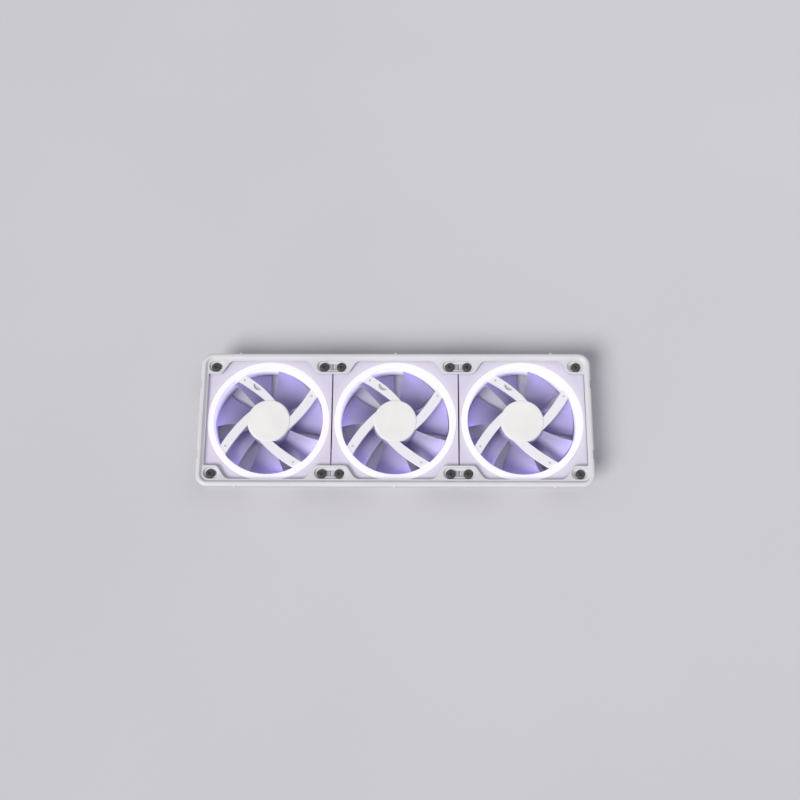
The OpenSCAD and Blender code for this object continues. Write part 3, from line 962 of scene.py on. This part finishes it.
def frame_look():
    """Moulding with painted light: white at the struts, painted violet round the ring, and a painted glow
    on the duct wall.
    """
    # painted violet light: the lavender in this colour and in the ramp below stands in for the rings'
    # violet light
    look = moulded("frame_moulding_painted_violet", (0.73, 0.69, 0.80), 0.46)
    # distance from the axis of whichever fan the point belongs to
    y = axis_mm(2)[1]
    wrap = look.node("ShaderNodeMath", operation="WRAP")
    wrap.inputs[1].default_value = pitch / 2 * MM
    wrap.inputs[2].default_value = -pitch / 2 * MM
    look.wire(look.axis_value("X"), wrap.inputs[0])
    shift = look.node("ShaderNodeMath", operation="SUBTRACT")
    shift.inputs[1].default_value = y * MM
    look.wire(look.axis_value("Y"), shift.inputs[0])
    flat = look.node("ShaderNodeCombineXYZ")
    look.wire(wrap.outputs[0], flat.inputs["X"])
    look.wire(shift.outputs[0], flat.inputs["Y"])
    reach = look.node("ShaderNodeVectorMath", operation="LENGTH")
    look.wire(flat.outputs[0], reach.inputs[0])
    # base colour by that distance: painted violet light, stronger away from the duct
    outside = look.node("ShaderNodeMapRange")
    outside.inputs["From Min"].default_value = duct_r * MM
    outside.inputs["From Max"].default_value = (ring_ro + PAINTED_VIOLET_REACH) * MM
    look.wire(reach.outputs["Value"], outside.inputs["Value"])
    shade = look.ramp(outside.outputs["Result"], FRAME_PAINTED_VIOLET)
    look.wire(shade, look.shader.inputs["Base Color"])
    # painted glow: emission on the duct wall below the ring, standing in for the ring's light that leaks
    # down it
    near = look.node("ShaderNodeMath", operation="COMPARE")
    near.inputs[1].default_value = duct_r * MM
    near.inputs[2].default_value = 0.4 * MM
    look.wire(reach.outputs["Value"], near.inputs[0])
    fade = look.node("ShaderNodeMapRange", interpolation_type="SMOOTHSTEP")
    fade.inputs["From Min"].default_value = (z_ring - PAINTED_WALL_GLOW_DEEP) * MM
    fade.inputs["From Max"].default_value = z_ring * MM
    fade.inputs["To Max"].default_value = PAINTED_WALL_GLOW
    look.wire(look.axis_value("Z"), fade.inputs["Value"])
    glow = look.node("ShaderNodeMath", operation="MULTIPLY")
    look.wire(near.outputs[0], glow.inputs[0])
    look.wire(fade.outputs["Result"], glow.inputs[1])
    look.wire(glow.outputs[0], look.shader.inputs["Emission Strength"])
    look.set("Emission Color", (*PAINTED_WALL_GLOW_TONE, 1))
    return look.material


def ring_look():
    look = Look("lit_diffuser", (0.62, 0.60, 0.68), 0.35)
    soft = look.noise(3.0, 2)
    look.gloss(soft, 0.3, 0.42)
    look.bump(look.noise(0.3, 2), 0.01, 0.5)
    look.set("Emission Color", (0.93, 0.90, 1.0, 1))
    look.set("Emission Strength", 0.42)
    return look.material


def screw_look():
    look = Look("black_oxide", (0.060, 0.060, 0.063), 0.6, 0.1)
    look.tint(look.noise(1.1, 3), 0.8, 1.3)
    look.gloss(look.noise(0.7, 3), 0.48, 0.62)
    look.bump(look.noise(0.2, 2), 0.01, 0.6)
    return look.material


def rubber_look():
    look = Look("soft_rubber", (0.50, 0.50, 0.53), 0.78)
    look.tint(look.noise(4, 3), 0.93, 1.04)
    look.bump(look.noise(0.35, 3), 0.02, 0.7)
    look.set("Sheen Weight", 0.15)
    return look.material


def metal_look(name, colour, rough, stretch=(1, 1, 1)):
    """Bare metal with fine tool lines, longer along an axis whose stretch is below 1."""
    look = Look(name, colour, rough, 1.0)
    lines = look.noise(0.35, 3, stretch=stretch)
    look.tint(lines, 0.85, 1.1)
    look.gloss(lines, rough - 0.06, rough + 0.1)
    look.bump(lines, 0.008, 0.6)
    return look


def banded(look, band_mm, low, high, high_mm):
    """Adds fine repeated bands up the Z axis, such as laminations or turns of wire."""
    wave = look.node("ShaderNodeTexWave", bands_direction="Z")
    wave.inputs["Scale"].default_value = pi / (10 * band_mm * MM)
    look.wire(look.place, wave.inputs["Vector"])
    look.tint(wave.outputs["Fac"], low, high, 0.1, 0.9)
    look.bump(wave.outputs["Fac"], high_mm, 0.9)
    return look.material


def board_look():
    look = Look("solder_resist", (0.03, 0.14, 0.06), 0.32)
    tracks = look.node("ShaderNodeTexBrick")
    tracks.inputs["Scale"].default_value = 1 / (4 * MM)
    look.wire(look.place, tracks.inputs["Vector"])
    look.tint(tracks.outputs["Fac"], 0.8, 1.7, 0, 1)
    look.bump(tracks.outputs["Fac"], 0.03, 0.6)
    look.bump(look.noise(0.5, 2), 0.01, 0.4)
    look.set("Coat Weight", 0.4)
    return look.material


def lamp_look():
    look = Look("lamp_lens", (0.95, 0.9, 0.75), 0.25)
    look.tint(look.noise(0.8, 2), 0.92, 1.05)
    look.set("Emission Color", (0.88, 0.84, 1.0, 1))
    look.set("Emission Strength", 2.0)
    return look.material


def ferrite_look():
    look = Look("bonded_ferrite", (0.035, 0.033, 0.032), 0.62)
    look.tint(look.noise(0.6, 4), 0.6, 1.6)
    look.bump(look.noise(0.25, 3), 0.02, 0.8)
    return look.material


def bronze_look():
    look = metal_look("sintered_bronze", (0.50, 0.34, 0.17), 0.42)
    look.bump(look.noise(0.12, 3), 0.02, 0.8)
    return look.material


LOOKS = {
    "tray_steel": painted_steel(),
    "screw_black": screw_look(),
    "frame_plastic": frame_look(),
    "pad_rubber": rubber_look(),
    "ring_diffuser": ring_look(),
    "circuit_board": board_look(),
    "led": lamp_look(),
    "cap_plastic": moulded("cap_moulding", (0.86, 0.86, 0.83), 0.44, 0.3, 0.016).material,
    "bearing_bronze": bronze_look(),
    "core_steel": banded(metal_look("core_laminations", (0.40, 0.41, 0.43), 0.38), 0.35, 0.7, 1.1, 0.03),
    "copper_wire": banded(metal_look("enamelled_copper", (0.55, 0.22, 0.09), 0.3), 0.3, 0.6, 1.2, 0.05),
    "blade_plastic": blade_look(),
    "yoke_steel": metal_look("drawn_zinc_steel", (0.55, 0.55, 0.57), 0.34, (1, 1, 0.15)).material,
    "ferrite": ferrite_look(),
    "shaft_steel": metal_look("ground_steel", (0.68, 0.68, 0.70), 0.2, (1, 1, 8)).material,
    "clip_plastic": moulded("black_clip", (0.05, 0.05, 0.055), 0.5).material,
}


def paint(obj, material):
    """Gives an object one material."""
    obj.data.materials.clear()
    obj.data.materials.append(material)


def paint_eye_shade(obj, material):
    """Paints shade on the floor of the lead eye as a darker grey second material."""
    obj.data.materials.append(material)
    for polygon in obj.data.polygons:
        if abs(polygon.center.z - z_eye * MM) < 0.05 * MM and polygon.normal.z > 0.9:
            polygon.material_index = 1


slot_of = {row["node"]: row["material_slot"] for row in frame["record"]["subparts"]}
for name, obj in NODES.items():
    paint(obj, LOOKS[slot_of[name]])
for piece, slot in PIECES:
    paint(piece, LOOKS[slot])
# painted shade: a darker grey on the eye floors and the ejector marks stands in for the shade in these
# small hollows
painted_shade_grey = moulded("painted_shade_grey", (0.56, 0.56, 0.55), 0.55).material
for k in FANS:
    paint_eye_shade(bpy.data.objects[f"fan_frame_{k}"], painted_shade_grey)
    paint(bpy.data.objects[f"ejector_marks_{k}"], painted_shade_grey)

# ---------------------------------------------------------------------- stage

FLOOR_TONE = (0.60, 0.60, 0.61)
FLOOR_HALF = 3.0
FLOOR_GAP = 0.0001
RING_POWER = 0.0009
RING_TONE = (0.42, 0.30, 1.0)
# strip lamps just inside the rings: sizes in mm, angles in degrees
STRIP_LENGTH = 24
STRIP_WIDTH = 1.6
STRIP_TILT = 50
STRIP_BESIDE_STRUT = 28
STRIP_INSET = 1.9
STRIP_RISE = 0.4


def make_floor():
    """A wide plane just under the fans."""
    mesh = bpy.data.meshes.new("studio_floor")
    bm = bmesh.new()
    bmesh.ops.create_grid(bm, x_segments=8, y_segments=8, size=FLOOR_HALF)
    bm.to_mesh(mesh)
    bm.free()
    floor = link("studio_floor", mesh)
    floor.location.z = -FLOOR_GAP
    look = Look("floor_paint", FLOOR_TONE, 0.75)
    look.tint(look.noise(400, 2), 0.985, 1.01)
    paint(floor, look.material)


def soft_light(name, place, target, size, power, tone):
    """A rectangular lamp at place that faces target."""
    data = bpy.data.lights.new(name, "AREA")
    data.shape = "RECTANGLE"
    data.size, data.size_y = size
    data.energy = power
    data.color = tone
    lamp = bpy.data.objects.new(name, data)
    lamp.location = place
    lamp.visible_camera = False
    lamp.rotation_euler = (Vector(target) - Vector(place)).to_track_quat("-Z", "Y").to_euler()
    bpy.context.scene.collection.objects.link(lamp)


def window_light(name, source, strength, softness, tone):
    """Even light from one side; softness is how wide the source looks, in degrees."""
    data = bpy.data.lights.new(name, "SUN")
    data.energy = strength
    data.angle = radians(softness)
    data.color = tone
    lamp = bpy.data.objects.new(name, data)
    lamp.location = source
    lamp.rotation_euler = (-Vector(source)).to_track_quat("-Z", "Y").to_euler()
    bpy.context.scene.collection.objects.link(lamp)


def make_camera(place, azimuth, elevation, roll, lens):
    """A camera that looks along the given azimuth and elevation, turned by roll, all in degrees."""
    a, e, r = radians(azimuth), radians(elevation), radians(roll)
    back = Vector((sin(a) * cos(e), -cos(a) * cos(e), sin(e)))
    right = (-back).cross(Vector((0, 0, 1))).normalized()
    up = right.cross(-back)
    x = right * cos(r) + up * sin(r)
    y = up * cos(r) - right * sin(r)
    data = bpy.data.cameras.new("camera")
    data.lens = lens
    data.sensor_width = 36
    data.clip_start = 0.01
    camera = bpy.data.objects.new("camera", data)
    camera.matrix_world = Matrix.Translation(place) @ Matrix((x, y, back)).transposed().to_4x4()
    bpy.context.scene.collection.objects.link(camera)
    bpy.context.scene.camera = camera


def ring_lamps(k):
    """Strip lamps, two between each pair of struts, that throw the ring's light across the duct."""
    x, y = axis_mm(k)
    r = duct_r - STRIP_INSET
    size = (STRIP_LENGTH * MM, STRIP_WIDTH * MM)
    for n in range(8):
        side = 1 if n % 2 else -1
        a = radians(mark_first + 90 * (n // 2) + side * STRIP_BESIDE_STRUT)
        place = Vector((x + r * cos(a), y + r * sin(a), z_ring + STRIP_RISE)) * MM
        inwards = Vector((-cos(a), -sin(a), -tan(radians(STRIP_TILT))))
        soft_light(f"ring_{k}_{n}", place, place + inwards, size, RING_POWER, RING_TONE)


def make_world(tone, strength):
    """Even light from all round."""
    world = bpy.data.worlds.new("studio")
    world.use_nodes = True
    background = world.node_tree.nodes["Background"]
    background.inputs["Color"].default_value = (*tone, 1)
    background.inputs["Strength"].default_value = strength
    bpy.context.scene.world = world


make_floor()
window_light("key", (-0.62, -0.66, 0.9), strength=2.55, softness=30, tone=(1.0, 0.99, 0.97))
soft_light("fill", (0.6, 0.5, 1.4), (0, 0, 0.02), size=(1.4, 1.4), power=3.0, tone=(0.97, 0.97, 1.0))
for k in FANS:
    ring_lamps(k)
make_world((0.92, 0.90, 1.0), strength=0.38)
bpy.context.scene.view_settings.view_transform = "Standard"
make_camera((0.0179, -0.2335, 0.9305), azimuth=3.035, elevation=74.344, roll=-2.841, lens=44.0)
